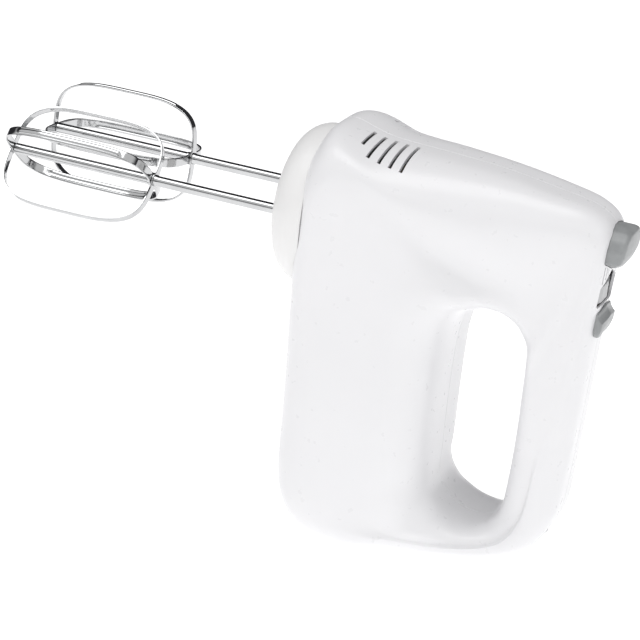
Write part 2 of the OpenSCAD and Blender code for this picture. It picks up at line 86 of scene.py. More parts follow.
def finish(name, dark, light, rough, metallic=0.0, colour_scale=60.0, grain_scale=700.0, grain=0.00002,
           grain_strength=0.5, rough_scale=250.0, stretch=(1, 1, 1), wave=0.0, wave_scale=120.0, coat=0.0,
           detail=4.0, specular=0.5, bands=None):
    """A procedural finish: colour varies between dark and light, roughness between two values, with a fine grain."""
    m = bpy.data.materials.new(name)
    m.use_nodes = True
    t = m.node_tree
    t.nodes.clear()
    out = t.nodes.new("ShaderNodeOutputMaterial")
    p = t.nodes.new("ShaderNodeBsdfPrincipled")
    t.links.new(p.outputs[0], out.inputs[0])
    p.inputs["Metallic"].default_value = metallic
    p.inputs["Specular IOR Level"].default_value = specular
    p.inputs["Coat Weight"].default_value = coat
    co = t.nodes.new("ShaderNodeTexCoord")
    mp = t.nodes.new("ShaderNodeMapping")
    mp.inputs["Scale"].default_value = stretch
    t.links.new(co.outputs["Object"], mp.inputs["Vector"])
    n1 = node_of(t, "ShaderNodeTexNoise", Scale=colour_scale, Detail=detail, Roughness=0.55)
    t.links.new(mp.outputs[0], n1.inputs["Vector"])
    ramp = t.nodes.new("ShaderNodeValToRGB")
    ramp.color_ramp.elements[0].position, ramp.color_ramp.elements[1].position = 0.3, 0.7
    ramp.color_ramp.elements[0].color = (*dark, 1)
    ramp.color_ramp.elements[1].color = (*light, 1)
    t.links.new(n1.outputs[0], ramp.inputs[0])
    colour = ramp.outputs[0]
    if bands:
        axis, size, low = bands
        w = t.nodes.new("ShaderNodeTexWave")
        w.wave_type, w.bands_direction, w.wave_profile = 'BANDS', axis, 'SIN'
        w.inputs["Scale"].default_value = size
        t.links.new(co.outputs["Object"], w.inputs["Vector"])
        mr = node_of(t, "ShaderNodeMapRange")
        mr.inputs["To Min"].default_value, mr.inputs["To Max"].default_value = low, 1.0
        t.links.new(w.outputs["Fac"], mr.inputs["Value"])
        mx = t.nodes.new("ShaderNodeMix")
        mx.data_type, mx.blend_type = 'RGBA', 'MULTIPLY'
        mx.inputs["Factor"].default_value = 1.0
        t.links.new(colour, mx.inputs[6])
        t.links.new(mr.outputs[0], mx.inputs[7])
        colour = mx.outputs[2]
    t.links.new(colour, p.inputs["Base Color"])
    n2 = node_of(t, "ShaderNodeTexNoise", Scale=rough_scale, Detail=3.0)
    t.links.new(mp.outputs[0], n2.inputs["Vector"])
    mr = t.nodes.new("ShaderNodeMapRange")
    mr.inputs["From Min"].default_value, mr.inputs["From Max"].default_value = 0.3, 0.7
    mr.inputs["To Min"].default_value, mr.inputs["To Max"].default_value = rough
    t.links.new(n2.outputs[0], mr.inputs["Value"])
    t.links.new(mr.outputs[0], p.inputs["Roughness"])
    n3 = node_of(t, "ShaderNodeTexNoise", Scale=grain_scale, Detail=2.0)
    t.links.new(mp.outputs[0], n3.inputs["Vector"])
    b = node_of(t, "ShaderNodeBump", Strength=grain_strength, Distance=grain)
    t.links.new(n3.outputs[0], b.inputs["Height"])
    if not grain:
        return m
    if wave:
        n4 = node_of(t, "ShaderNodeTexNoise", Scale=wave_scale, Detail=1.0)
        t.links.new(mp.outputs[0], n4.inputs["Vector"])
        b2 = node_of(t, "ShaderNodeBump", Strength=0.6, Distance=wave)
        t.links.new(n4.outputs[0], b2.inputs["Height"])
        t.links.new(b.outputs[0], b2.inputs["Normal"])
        b = b2
    t.links.new(b.outputs[0], p.inputs["Normal"])
    return m


MAT = {
    "white_gloss": finish("white_gloss", (0.775, 0.775, 0.785), (0.80, 0.80, 0.81), (0.27, 0.34),
                          colour_scale=14, grain=0),
    "collar_white": finish("collar_white", (0.775, 0.773, 0.768), (0.80, 0.798, 0.792), (0.34, 0.42),
                           colour_scale=18, grain=0),
    "grey_satin": finish("grey_satin", (0.27, 0.28, 0.283), (0.31, 0.32, 0.323), (0.30, 0.40),
                         colour_scale=180, grain_scale=2600, grain=0.00004),
    "light_grey": finish("light_grey", (0.43, 0.435, 0.44), (0.475, 0.48, 0.485), (0.36, 0.46),
                         colour_scale=180, grain_scale=2600, grain=0.00004),
    "polished_steel": finish("polished_steel", (0.50, 0.505, 0.51), (0.56, 0.565, 0.57), (0.07, 0.12), metallic=1.0,
                             colour_scale=90, grain_scale=420, grain=0.0000005, rough_scale=90),
    "plain_steel": finish("plain_steel", (0.46, 0.46, 0.47), (0.58, 0.58, 0.59), (0.24, 0.38), metallic=1.0,
                          colour_scale=300, grain_scale=1500, grain=0.00001),
    "cast_alloy": finish("cast_alloy", (0.40, 0.405, 0.415), (0.52, 0.525, 0.535), (0.42, 0.6), metallic=1.0,
                         colour_scale=220, grain_scale=900, grain=0.00006),
    "bronze": finish("bronze", (0.42, 0.26, 0.12), (0.56, 0.36, 0.18), (0.3, 0.45), metallic=1.0,
                     colour_scale=350, grain_scale=1800, grain=0.00004),
    "copper_wire": finish("copper_wire", (0.36, 0.12, 0.05), (0.62, 0.24, 0.10), (0.22, 0.36), metallic=1.0,
                          colour_scale=160, grain_scale=1200, grain=0.00004, coat=0.5, bands=('Z', 420.0, 0.45)),
    "brass": finish("brass", (0.55, 0.40, 0.15), (0.72, 0.55, 0.24), (0.24, 0.36), metallic=1.0,
                    colour_scale=260, grain_scale=1500, grain=0.00002),
    "laminated_iron": finish("laminated_iron", (0.20, 0.20, 0.21), (0.30, 0.30, 0.31), (0.4, 0.58), metallic=0.9,
                             colour_scale=200, grain_scale=900, grain=0.00004, bands=('Z', 310.0, 0.35)),
    "black_plastic": finish("black_plastic", (0.018, 0.018, 0.02), (0.035, 0.035, 0.038), (0.38, 0.5),
                            colour_scale=200, grain_scale=2200, grain=0.00004),
    "natural_nylon": finish("natural_nylon", (0.66, 0.62, 0.52), (0.74, 0.70, 0.60), (0.38, 0.5),
                            colour_scale=120, grain_scale=1400, grain=0.00004),
    "soft_rubber": finish("soft_rubber", (0.16, 0.162, 0.166), (0.21, 0.212, 0.216), (0.6, 0.75),
                          colour_scale=240, grain_scale=2400, grain=0.00006, specular=0.35),
    "board_green": finish("board_green", (0.02, 0.12, 0.05), (0.04, 0.19, 0.08), (0.3, 0.42),
                          colour_scale=300, grain_scale=1100, grain=0.00003, coat=0.4),
    "yellow_film": finish("yellow_film", (0.68, 0.46, 0.05), (0.78, 0.56, 0.09), (0.3, 0.42),
                          colour_scale=160, grain_scale=1200, grain=0.00003),
    "carbon": finish("carbon", (0.03, 0.03, 0.032), (0.07, 0.07, 0.074), (0.45, 0.6), metallic=0.4,
                     colour_scale=900, grain_scale=2500, grain=0.00005),
    "lead_sleeve": finish("lead_sleeve", (0.22, 0.09, 0.03), (0.30, 0.13, 0.05), (0.42, 0.55),
                          colour_scale=300, grain_scale=1500, grain=0.00003),
}

CAD_FINISH = {
    "left_screw_posts": "white_gloss", "right_screw_posts": "white_gloss", "collar_screws": "plain_steel",
    "gear_frame": "cast_alloy", "spindle_bushes": "bronze", "front_bearings": "bronze", "rear_bearing": "bronze",
    "motor_stator": "laminated_iron", "field_coils": "copper_wire", "motor_end_bracket": "cast_alloy",
    "motor_screws": "plain_steel", "brush_plate": "black_plastic", "brush_holders": "brass",
    "carbon_brushes": "carbon", "brush_springs": "plain_steel", "air_baffle": "black_plastic",
    "motor_shaft": "plain_steel", "armature_core": "laminated_iron", "armature_windings": "copper_wire",
    "commutator": "copper_wire", "cooling_fan": "black_plastic", "worm": "plain_steel",
    "left_worm_wheel": "natural_nylon", "right_worm_wheel": "natural_nylon", "left_spindle": "plain_steel",
    "right_spindle": "plain_steel", "eject_rod": "natural_nylon", "rod_guide": "natural_nylon",
    "eject_spring": "plain_steel", "turbo_switch": "black_plastic", "turbo_spring": "plain_steel",
    "slider_carriage": "natural_nylon", "detent_leaf": "plain_steel", "switch_block": "black_plastic",
    "control_board": "board_green", "suppression_capacitor": "yellow_film", "terminal_block": "natural_nylon",
    "cord_inlet": "soft_rubber", "cord_clamp": "black_plastic", "clamp_screws": "plain_steel",
    "power_leads": "lead_sleeve",
}


# ---------------------------------------------------------------- mesh helpers
def piece(name, verts, faces, mat, to=PLACE, angle=34, link=True):
    me = bpy.data.meshes.new(name)
    me.from_pydata([tuple(v) for v in verts], [], [tuple(f) for f in faces])
    me.transform(to)
    bm = bmesh.new()
    bm.from_mesh(me)
    bmesh.ops.recalc_face_normals(bm, faces=bm.faces)
    bm.to_mesh(me)
    bm.free()
    o = bpy.data.objects.new(name, me)
    if mat:
        me.materials.append(MAT[mat])
    if link:
        scene.collection.objects.link(o)
    if angle is not None:
        shade(o, angle)
    return o


def shade(o, angle=34):
    o.data.shade_smooth()
    o.data.set_sharp_from_angle(angle=math.radians(angle))


def bake(o):
    """Applies the modifiers of o to its mesh."""
    bpy.context.view_layer.update()
    dg = bpy.context.evaluated_depsgraph_get()
    me = bpy.data.meshes.new_from_object(o.evaluated_get(dg))
    old = o.data
    o.modifiers.clear()
    o.data = me
    bpy.data.meshes.remove(old)
    me.name = o.name


def combine(o, others, operation='DIFFERENCE', solver='MANIFOLD'):
    for c in others:
        m = o.modifiers.new("cut", 'BOOLEAN')
        m.operation, m.object, m.solver = operation, c, solver
        bake(o)
        bpy.data.objects.remove(c)
    clean(o)


def clean(o, dist=0.000004):
    bm = bmesh.new()
    bm.from_mesh(o.data)
    bmesh.ops.dissolve_degenerate(bm, dist=dist, edges=bm.edges)
    bm.to_mesh(o.data)
    bm.free()


def bevel(o, width, segments=3, angle=40):
    m = o.modifiers.new("bevel", 'BEVEL')
    m.width, m.segments, m.limit_method, m.angle_limit = width, segments, 'ANGLE', math.radians(angle)
    m.harden_normals = False
    bake(o)


def rings(name, rows, mat, closed_ends=True, to=PLACE, angle=34, wrap=False):
    """A skin through rows of equal length, each a closed ring."""
    n, m = len(rows), len(rows[0])
    verts = [p for r in rows for p in r]
    faces = []
    for i in range(n if wrap else n - 1):
        a0, b0 = i * m, ((i + 1) % n) * m
        for j in range(m):
            faces.append((a0 + j, a0 + (j + 1) % m, b0 + (j + 1) % m, b0 + j))
    if closed_ends and not wrap:
        faces.append(tuple(range(m)))
        faces.append(tuple((n - 1) * m + j for j in range(m - 1, -1, -1)))
    return piece(name, verts, faces, mat, to, angle)


def lathe(name, profile, mat, segments=96, axis=(0, 0), to=PLACE, angle=34):
    """Turns a profile of (x, radius) about the X axis through axis = (y, z). Ends on the axis close to a point."""
    verts, faces, idx = [], [], []
    for x, r in profile:
        if r < 1e-6:
            idx.append([len(verts)])
            verts.append((x, axis[0], axis[1]))
        else:
            idx.append(list(range(len(verts), len(verts) + segments)))
            for k in range(segments):
                a = 2 * math.pi * k / segments
                verts.append((x, axis[0] + r * math.cos(a), axis[1] + r * math.sin(a)))
    for a, b in zip(idx, idx[1:]):
        for k in range(segments):
            k2 = (k + 1) % segments
            if len(a) == 1 and len(b) == 1:
                continue
            if len(a) == 1:
                faces.append((a[0], b[k], b[k2]))
            elif len(b) == 1:
                faces.append((a[k], b[0], a[k2]))
            else:
                faces.append((a[k], b[k], b[k2], a[k2]))
    if len(idx[0]) > 1 and len(idx[-1]) > 1:
        a, b = idx[-1], idx[0]
        for k in range(segments):
            k2 = (k + 1) % segments
            faces.append((a[k], b[k], b[k2], a[k2]))
    return piece(name, verts, faces, mat, to, angle)


def prism_x(poly, x0, x1, name="cutter"):
    """A polygon in (y, z) along X, as a cutter."""
    n = len(poly)
    verts = [(x0, y, z) for y, z in poly] + [(x1, y, z) for y, z in poly]
    faces = [tuple(range(n)), tuple(range(2 * n - 1, n - 1, -1))]
    faces += [(i, (i + 1) % n, n + (i + 1) % n, n + i) for i in range(n)]
    return piece(name, verts, faces, None, angle=None)


def round_poly(points, radius, steps=6):
    """A polygon with its corners rounded; radius is one number or one per corner."""
    out = []
    n = len(points)
    for i in range(n):
        r = radius[i] if isinstance(radius, (list, tuple)) else radius
        p0, p1, p2 = (Vector((*points[k % n], 0)) for k in (i - 1, i, i + 1))
        a, b = (p0 - p1), (p2 - p1)
        half = a.angle(b) / 2
        if r < 1e-6 or half > math.radians(89.5):
            out.append((p1.x, p1.y))
            continue
        d = min(r / math.tan(half), a.length * 0.49, b.length * 0.49)
        rr = d * math.tan(half)
        c = p1 + (a.normalized() + b.normalized()).normalized() * (rr / math.sin(half))
        s, e = p1 + a.normalized() * d - c, p1 + b.normalized() * d - c
        for k in range(steps + 1):
            v = s.slerp(e, k / steps) if s.angle(e) > 1e-4 else s
            v = v.normalized() * rr
            out.append((c.x + v.x, c.y + v.y))
    return out


def cylinder_between(p0, p1, r, segments=96, name="cutter", r1=None):
    p0, p1 = Vector(p0), Vector(p1)
    t = (p1 - p0).normalized()
    u = t.cross(Vector((0, 1, 0)) if abs(t.y) < 0.9 else Vector((1, 0, 0))).normalized()
    v = t.cross(u)
    r1 = r if r1 is None else r1
    rows = []
    for p, q in ((p0, r), (p1, r1)):
        rows.append([p + q * (u * math.cos(2 * math.pi * k / segments) + v * math.sin(2 * math.pi * k / segments)) for k in range(segments)])
    return rings(name, rows, None, angle=None)


def box_mm(x0, x1, y0, y1, z0, z1, name="cutter", to=PLACE):
    v = [(x, y, z) for x in (x0, x1) for y in (y0, y1) for z in (z0, z1)]
    f = [(0, 1, 3, 2), (4, 6, 7, 5), (0, 4, 5, 1), (2, 3, 7, 6), (0, 2, 6, 4), (1, 5, 7, 3)]
    return piece(name, v, f, None, to=to, angle=None)


def put(o, body, slot, *replaced):
    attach(o, body)
    if replaced:
        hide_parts(*replaced)
    return o


# ---------------------------------------------------------------- housing shells
WALL = 2.2
STATIONS = [
    (146, -118, 217, -100, 37, 20, 26, 35, 24, 24), (145.5, -90, 216.5, -80, 38, 20, 26, 36, 24, 24),
    (145, -60, 216.5, -62, 38, 18, 24, 36, 24, 24), (145, -30, 217, -47, 38, 14, 20, 36, 24, 24),
    (145, -5, 219, -35, 38, 12, 18, 36, 22, 22), (145.5, 18, 223, -27.5, 38, 14, 20, 35, 20, 20),
    (149, 35, 229, -24.5, 38, 20, 28, 33, 18, 18), (156, 43, 234, -23.5, 37, 25, 33, 30, 17, 17),
    (176, 38.4, 239, -24, 35, 25, 31, 27, 16, 15), (205, 36.8, 243, -26, 32, 24.5, 25, 24, 15, 13),
    (230, 35, 247, -29.5, 28, 23, 20, 21, 14, 11), (254, 31.5, 250, -34.5, 24, 20, 15, 19, 13, 10),
    (271.5, 28.2, 252, -40, 20, 17, 13, 18, 13, 10), (281, 20.5, 252.5, -47, 18, 14, 12, 18, 13, 10),
    (281.4, 5, 252.5, -56, 17.5, 13, 12, 17, 12, 10), (280, -25, 252.5, -66, 17, 13, 12, 17, 12, 10),
    (279, -60, 252.5, -82, 17, 13, 12, 17, 12, 10), (277.5, -95, 252, -100, 18, 13, 12, 17, 12, 10),
    (275.5, -116, 251, -116, 20, 14, 12, 18, 12, 10), (268, -131, 247, -124, 23, 16, 13, 20, 13, 12),
    (254, -139, 241, -127, 26, 18, 14, 24, 14, 13), (232, -143.5, 233, -127, 30, 18, 15, 28, 15, 15),
    (205, -147.3, 226, -124, 33, 19, 16, 32, 18, 18), (180, -150.6, 221, -119, 35, 20, 18, 33, 22, 20),
    (160, -146, 218, -114, 36, 20, 22, 34, 24, 22), (150, -134.5, 217, -108, 37, 20, 25, 34, 24, 24)]


def station(i, t):
    n = len(STATIONS)
    a, b, c, d = (np.array(STATIONS[k % n], float) for k in (i - 1, i, i + 1, i + 2))
    return 0.5 * (2 * b + (c - a) * t + (2 * a - 5 * b + 4 * c - d) * t * t + (3 * b - a - 3 * c + d) * t ** 3)


def skin(r, g, side, seam, n=11, mid=10):
    o, i = np.array((r[0], r[1])), np.array((r[2], r[3]))
    l0 = np.linalg.norm(i - o)
    d = (i - o) / l0
    e = 2 / 2.3
    ln = l0 - 2 * g
    w0, b, v, f = r[4] - g, r[6] - g * 0.6, r[7] - g, r[9] - g * 0.6
    fit = min(1, 0.94 * ln / (r[5] + r[8] - g * 1.2))
    a, c = (r[5] - g * 0.6) * fit, (r[8] - g * 0.6) * fit
    p = o + d * g
    sw = [(0.32, 0.02), (0.0, 0.22)] if seam else [(0.0, 0.02)]
    q = (w0 - b) * 0.5
    sw.append((0.0, q))
    for k in range(n + 1):
        ph = math.pi / 2 * k / n
        sw.append((a - a * math.cos(ph) ** e, w0 - b + b * math.sin(ph) ** e) if k < n else (a, w0))
    for k in range(1, mid):
        t = k / mid
        sw.append((a + (ln - c - a) * t, w0 + (v - w0) * t * t * (3 - 2 * t)))
    for k in range(n + 1):
        ph = math.pi / 2 * k / n
        sw.append((ln - c + c * math.sin(ph) ** e, v - f + f * math.cos(ph) ** e) if k < n else (ln, v - f))
    sw.append((ln, (v - f) * 0.5))
    sw += [(ln, 0.22), (ln - 0.32, 0.02)] if seam else [(ln, 0.02)]
    return [(p[0] + s * d[0], side * w, p[1] + s * d[1]) for s, w in sw]


BOSSES = [(160, -130), (156, -29), (265.5, -98), (265.5, -54.5), (226, 20), (207, -126)]


def both(p):
    return list(p) + [(-y, z) for y, z in reversed(p)]


def eject_outline(g):
    return both([(2 + g / 2, 2.2 - g), (13.2 + g, 7 - g / 2), (13.5 + g, 13), (11.8 + g, 17.6 + g / 2),
                 (7.5 + g / 2, 20.8 + g), (3, 21.8 + g)])


TURBO_OPEN = both([(12, -14.2), (12, -4.6), (0.4, 1)])


def skin_x(y):
    """The handle top's surface across the handle, at the controls."""
    t = max(0.0, (abs(y) - 5.5) / 12)
    return 280.9 - 13 * (1 - (1 - min(1, t) ** 2.3) ** (1 / 2.3))


def cutters(side):
    c = [cylinder_between((120, 0, 0), (150.3, 0, 0), 37.04, 192)]
    c.append(prism_x(round_poly(eject_outline(0.3), [1.5, 2.0, 5, 6, 6, 4, 4, 6, 6, 5, 2.0, 1.5]), 262, 300))
    c.append(prism_x(round_poly(TURBO_OPEN, [1.4, 1.2, 0.4, 0.4, 1.2, 1.4]), 262, 300))
    c.append(prism_x(round_poly([(-2.3, -26), (2.3, -26), (2.3, -16), (-2.3, -16)], 1.2), 262, 300))
    for i in range(5):
        x = 169 + 5.2 * i
        if side < 0:
            c.append(box_mm(x - 0.8, x + 0.8, -21.5 if i == 0 else -28, -5.5, 28, 60))
        else:
            c.append(box_mm(x - 0.8, x + 0.8, 20, 33, 22, 60))
    # shallow grip grooves between the eject button and the turbo button's point
    for y in (5.8, 8.6, 11.4):
        z0, z1 = -4.6 + (12 - y) / 11.6 * 5.6 + 1.5, 1.9 + 0.436 * (y - 2.15) - 0.6
        x = skin_x(y) - 0.5
        c.append(box_mm(x, 300, *sorted((side * (y - 0.45), side * (y + 0.45))), z0, z1))
    a = math.radians(133)
    ax = Vector((math.sin(a), 0, math.cos(a)))
    p = Vector((268, 0, -131))
    c.append(cylinder_between(p - ax * 10, p + ax * 30, 5.15, 64))
    if side > 0:
        for x, z in BOSSES:
            c.append(cylinder_between((x, 8, z), (x, 60, z), 3.4, 48))
    pad = [(x, y) for x, y in round_poly([(-29.2, -13.2), (29.2, -13.2), (29.2, 13.2), (-29.2, 13.2)], 6.2, 8)]
    c.append(rings("cutter", [[(x, y, -1) for x, y in pad], [(x, y, 1.5) for x, y in pad]], None, to=ROW, angle=None))
    return c


def skin_normals(o, src):
    """Gives the cut shell o the smooth normals that its skin src had before the cuts."""
    tree = BVHTree.FromPolygons([v.co for v in src.vertices], [tuple(p.vertices) for p in src.polygons])
    was = [c.vector.copy() for c in src.corner_normals]
    me = o.data
    now = [c.vector.copy() for c in me.corner_normals]
    for p in me.polygons:
        for li in p.loop_indices:
            at = me.vertices[me.loops[li].vertex_index].co.lerp(p.center, 0.02)
            hit, n, i, d = tree.find_nearest(at, 0.0002)
            if i is None or n.dot(p.normal) < 0.9:
                continue
            f = src.polygons[i]
            w = poly_3d_calc([src.vertices[k].co for k in f.vertices], hit)
            v = Vector((0, 0, 0))
            for k, j in enumerate(f.loop_indices):
                v += was[j] * w[k]
            if v.length > 0.5 and v.normalized().dot(p.normal) > 0.8:
                now[li] = v.normalized()
    me.normals_split_custom_set(now)


def make_shell(side):
    div = 9
    rows = []
    for i in range(len(STATIONS)):
        for k in range(div):
            s = station(i, k / div)
            inner = skin(s, WALL, side, False)
            rows.append(skin(s, 0, side, True) + inner[::-1])
    name = "left_housing_shell" if side < 0 else "right_housing_shell"
    o = rings(name, rows, "white_gloss", wrap=True, angle=None)
    shade(o, 32)
    src = o.data.copy()
    combine(o, cutters(side))
    shade(o, 32)
    skin_normals(o, src)
    bpy.data.meshes.remove(src)
    return put(o, "housing", "white_gloss", "housing_left" if side < 0 else "housing_right")


for s in (-1, 1):
    make_shell(s)


# ---------------------------------------------------------------- nose collar
def make_collar():
    R, rc, t = 37.0, 14.0, 2.4
    prof = [(132.5, 0)]
    prof += [(132.5, r) for r in (8, 14, 19)]
    for k in range(13):
        ph = math.pi / 2 * k / 12
        prof.append((132.5 + rc - rc * math.cos(ph), R - rc + rc * math.sin(ph)))
    prof += [(148, R), (149.7, R), (150, R - 0.3), (150, R - t + 0.3)]
    prof += [(149.7, R - t), (146.5, R - t)]
    for k in range(1, 11):
        ph = math.pi / 2 * (1 - k / 10)
        prof.append((132.5 + rc - (rc - t) * math.cos(ph), R - rc + (rc - t) * math.sin(ph)))
    prof += [(134.9, 12), (134.9, 0)]
    o = lathe("nose_collar_shell", prof, "collar_white", 192, angle=None)
    cut = []
    for y in (-20.5, 20.5):
        cut.append(cylinder_between((120, y, 0), (160, y, 0), 6.5, 96))
    combine(o, cut)
    shade(o, 32)
    return put(o, "housing", "white_gloss", "nose_collar")


make_collar()


# ---------------------------------------------------------------- beaters
HP = 20.5
CAGE, LOOP_R, STRAP_W, STRAP_T = 73.0, 25.0, 4.2, 0.9


def turn(p, a):
    """Turns a point about X from +Z towards +Y."""
    x, y, z = p
    c, s = math.cos(a), math.sin(a)
    return (x, y * c + z * s, -y * s + z * c)


def make_loop(name, side, degrees, gap, body, replaced):
    n = 3.68
    ax, ar = CAGE / 2 - gap - STRAP_T / 2, LOOP_R - gap - STRAP_T / 2
    dense = []
    for k in range(4000):
        t = 2 * math.pi * k / 4000
        c, s = math.cos(t), math.sin(t)
        dense.append((CAGE / 2 - ax * math.copysign(abs(c) ** (2 / n), c), ar * math.copysign(abs(s) ** (2 / n), s)))
    dense = np.array(dense)
    seg = np.linalg.norm(np.roll(dense, -1, 0) - dense, axis=1)
    length = seg.sum()
    at = np.concatenate([[0], np.cumsum(seg)])
    xs = np.append(dense[:, 0], dense[0, 0])
    vs = np.append(dense[:, 1], dense[0, 1])
    count = 260
    want = np.linspace(0, length, count, endpoint=False)
    px, pv = np.interp(want, at, xs), np.interp(want, at, vs)
    tx, tv = np.roll(px, -1) - np.roll(px, 1), np.roll(pv, -1) - np.roll(pv, 1)
    tl = np.hypot(tx, tv)
    tx, tv = tx / tl, tv / tl
    nx, nv = tv, -tx            # in-plane normal
    flip = np.sign((px - CAGE / 2) * nx + pv * nv)
    nx, nv = nx * flip, nv * flip
    hw0, ht = STRAP_W / 2, STRAP_T / 2
    # section across the strap: b along its width in units of the half width, h its two faces
    cols = [-1.0, -0.93, -0.8, -0.56, -0.46, -0.36, 0.0, 0.36, 0.46, 0.56, 0.8, 0.93, 1.0]
    rib = [0, 0, 0, 0, 0.62, 1, 1, 1, 0.62, 0, 0, 0, 0]
    edge = [0.55, 0.86, 1, 1, 1, 1, 1, 1, 1, 1, 1, 0.86, 0.55]
    rows = []
    for i in range(count):
        # the stamped rib runs along the long sides and ends with a short ramp
        along = (px[i] - CAGE / 2) / (CAGE / 2)
        on = 1.0 if abs(pv[i]) > ar * 0.86 else 0.0
        ramp = max(0.0, min(1.0, (0.70 - abs(along)) / 0.035)) * on
        ramp = ramp * ramp * (3 - 2 * ramp)
        hw = hw0
        if px[i] > CAGE * 0.8:
            hw += 1.15 * math.exp(-(pv[i] / 2.7) ** 2)
        top, bottom = [], []
        for b, r, e in zip(cols, rib, edge):
            up = ht * e + 0.42 * ramp * r
            lo = -ht * e + 0.30 * ramp * r
            for h, dst in ((up, top), (lo, bottom)):
                dst.append((px[i] + nx[i] * h, b * hw, pv[i] + nv[i] * h))
        ring = top + bottom[::-1]
        rows.append([(q[0], q[1] + side * HP, q[2]) for q in (turn(p, math.radians(degrees)) for p in ring)])
    o = rings(name, rows, "polished_steel", wrap=True, angle=None)
    y = side * HP
    holes = [cylinder_between((CAGE - 8, y, 0), (CAGE + 4, y, 0), 2.42, 48),
             cylinder_between((-4, y, 0), (8, y, 0), 1.32, 40)]
    combine(o, holes)
    shade(o, 38)
    return put(o, body, "polished_steel", replaced)


def make_shaft(name, side, degrees, body, replaced):
    y = side * HP
    r = 2.4
    prof = [(-0.9, 0), (-0.88, 0.7), (-0.78, 1.3), (-0.55, 1.75), (-0.25, 2.0), (0.0, 2.08), (0.0, 1.3), (1.9, 1.3),
            (1.92, 2.15), (2.2, r)]
    top = CAGE - 2 * STRAP_T - 0.04
    prof += [(top - 1.5, r), (top - 1.3, r + 0.22), (top - 0.5, r + 0.3), (top - 0.05, r + 0.1), (top, r), (CAGE + 0.02, r),
             (CAGE + 0.06, r + 0.32), (CAGE + 0.5, r + 0.3), (CAGE + 1.2, r + 0.12), (CAGE + 1.5, r)]
    prof += [(x, r) for x in (90, 110, 130, 150, 170)]
    prof += [(186.6, r), (187.4, r - 0.15), (188.2, r - 0.6), (188.8, r - 1.2), (189, 0.6), (189, 0)]
    o = lathe(name, prof, "polished_steel", 64, axis=(y, 0), angle=None)
    fins = []
    for k in (0, 1):
        b = box_mm(147, 152, *((-0.5, 0.5, -4.2, 4.2) if k == 0 else (-4.2, 4.2, -0.5, 0.5)))
        b.data.transform(PLACE.inverted())
        b.data.transform(Matrix.Translation((0, y, 0)) @ Matrix.Rotation(-math.radians(degrees), 4, 'X'))
        b.data.transform(PLACE)
        fins.append(b)
    combine(o, fins, 'UNION')
    shade(o, 36)
    return put(o, body, "polished_steel", replaced)


for side, word, a in ((-1, "left", 41.0), (1, "right", 4.0)):
    body = word + "_beater"
    make_shaft(word + "_beater_stem", side, a, body, word + "_beater_shaft")
    make_loop(word + "_outer_strap", side, a, 0.0, body, word + "_outer_loop")
    make_loop(word + "_inner_strap", side, a + 90, STRAP_T + 0.02, body, word + "_inner_loop")


# ---------------------------------------------------------------- controls
def capped(name, outline, x_base, top, mat, edge=1.6, steps=5, fill=9, local=None, angle=30, centre=None):
    """A button: an outline in (y, z) raised from x_base to the height function top(y, z), with a rounded rim."""
    pts = [Vector((p[0], p[1])) for p in outline]
    cen = Vector(centre) if centre else sum(pts, Vector((0, 0))) / len(pts)
    n = len(pts)
    area = sum(pts[i].x * pts[(i + 1) % n].y - pts[(i + 1) % n].x * pts[i].y for i in range(n))
    norms = []
    for i in range(n):
        t = (pts[(i + 1) % n] - pts[i - 1]).normalized()
        norms.append(Vector((t.y, -t.x)) * (1 if area > 0 else -1))
    base = x_base if callable(x_base) else (lambda y, z: x_base)
    rows = [[(base(p.x, p.y), p.x, p.y) for p in pts]]
    for f in (0.35, 0.7):
        rows.append([(base(p.x, p.y) + (top(p.x, p.y) - edge - base(p.x, p.y)) * f, p.x, p.y) for p in pts])
    for k in range(steps + 1):
        ph = math.pi / 2 * k / steps
        ins = edge * (1 - math.cos(ph))
        row = []
        for p, nn in zip(pts, norms):
            q = p - nn * ins
            row.append((top(q.x, q.y) - edge + edge * math.sin(ph), q.x, q.y))
        rows.append(row)
    inner = [p - nn * edge for p, nn in zip(pts, norms)]
    for k in range(1, fill):
        f = 1 - k / fill
        row = []
        for q in inner:
            w = cen + (q - cen) * f
            row.append((top(w.x, w.y), w.x, w.y))
        rows.append(row)
    verts = [p for r in rows for p in r]
    m = len(pts)
    faces = []
    for i in range(len(rows) - 1):
        for j in range(m):
            faces.append((i * m + j, i * m + (j + 1) % m, (i + 1) * m + (j + 1) % m, (i + 1) * m + j))
    faces.append(tuple(range(m)))
    last = (len(rows) - 1) * m
    verts.append((top(cen.x, cen.y), cen.x, cen.y))
    for j in range(m):
        faces.append((last + j, last + (j + 1) % m, len(verts) - 1))
    if local:
        verts = [tuple(local @ Vector(v)) for v in verts]
    return piece(name, verts, faces, mat, angle=angle)


def curve_of(points):
    xs, ys = zip(*points)

    def f(v):
        return float(np.interp(v, xs, ys))
    return f


def smooth_curve(points, width=0.5):
    raw = curve_of(points)

    def f(v):
        return (raw(v - width) + 2 * raw(v - width / 2) + 3 * raw(v) + 2 * raw(v + width / 2) + raw(v + width)) / 9
    return f


def dense_outline(points, step=0.7):
    out = []
    n = len(points)
    for i in range(n):
        a, b = Vector(points[i]), Vector(points[(i + 1) % n])
        k = max(1, int(math.ceil((b - a).length / step)))
        out += [tuple(a + (b - a) * j / k) for j in range(k)]
    return out


eject_x = smooth_curve([(1.2, 280.2), (2.2, 282.6), (3.4, 284.6), (5.2, 286.7), (7.6, 288.2), (10.9, 289.25), (14.5, 289.55),
                        (18.0, 289.4), (20.0, 289.1), (20.9, 288.0), (21.4, 286.0), (22.2, 284.0), (23, 282)], 0.4)


def eject_top(y, z):
    return eject_x(z) - 1.1 * (abs(y) / 13.5) ** 2.2


